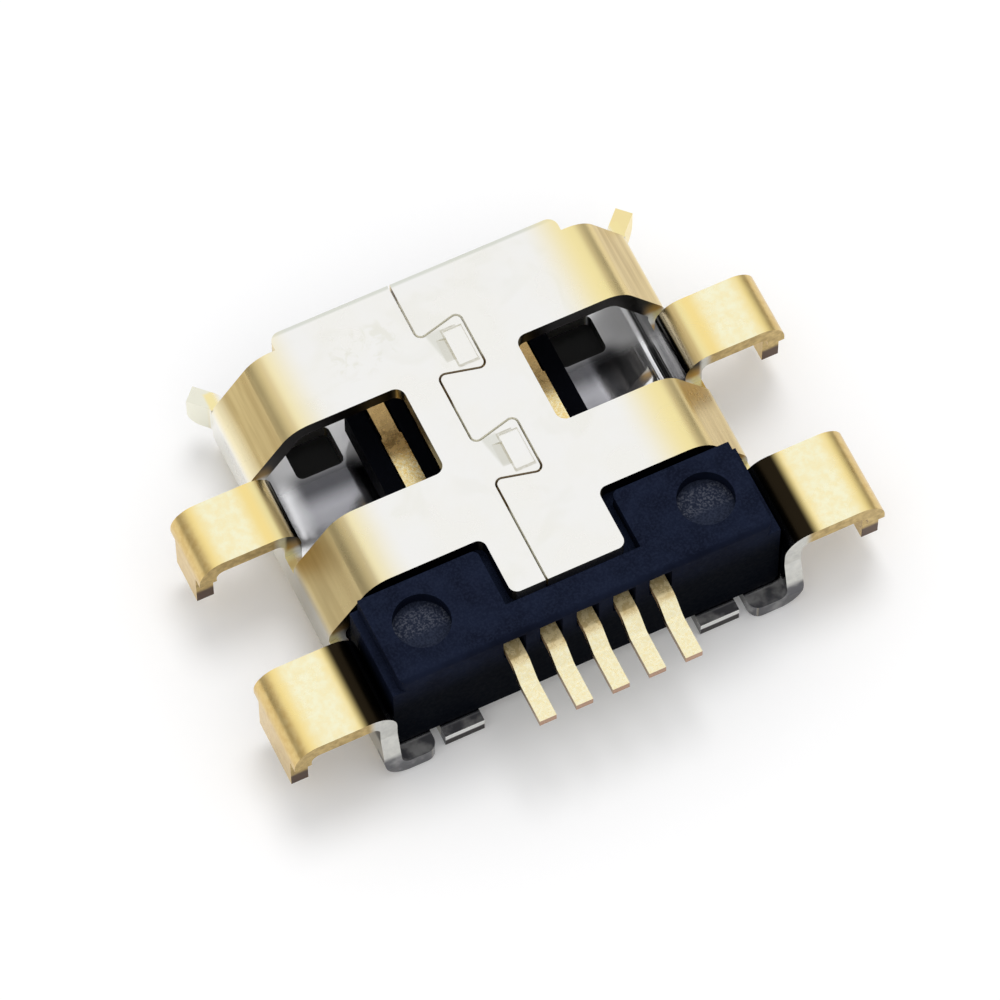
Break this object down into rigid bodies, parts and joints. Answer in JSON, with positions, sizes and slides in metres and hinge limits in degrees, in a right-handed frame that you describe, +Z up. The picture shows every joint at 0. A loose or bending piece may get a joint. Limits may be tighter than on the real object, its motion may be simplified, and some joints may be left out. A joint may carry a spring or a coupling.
{
  "type": "micro usb socket",
  "caption": "Mid-mount micro USB socket: folded plated shell with hooked seam, windows and bent solder legs, moulded housing and a row of gold contacts.",
  "frame": {"origin": "under the middle of the part: middle of the overall length and width, at the underside of the shell's floor", "axes": "+X across the socket, +Y from the plug mouth towards the solder tails, +Z up from the floor to the seamed top"},
  "size_m": [0.0106, 0.0082, 0.0025],
  "materials": {
    "shell_plating": "gold-tinted plating over stamped sheet, satin to bright",
    "housing_plastic": "fine-grained moulded high-temperature plastic",
    "contact_gold": "gold plating over stamped strip"
  },
  "bodies": {
    "root": {"shell": "shell_plating", "housing": "housing_plastic", "contact_1": "contact_gold", "contact_2": "contact_gold", "contact_3": "contact_gold", "contact_4": "contact_gold", "contact_5": "contact_gold"}
  },
  "joints": []
}
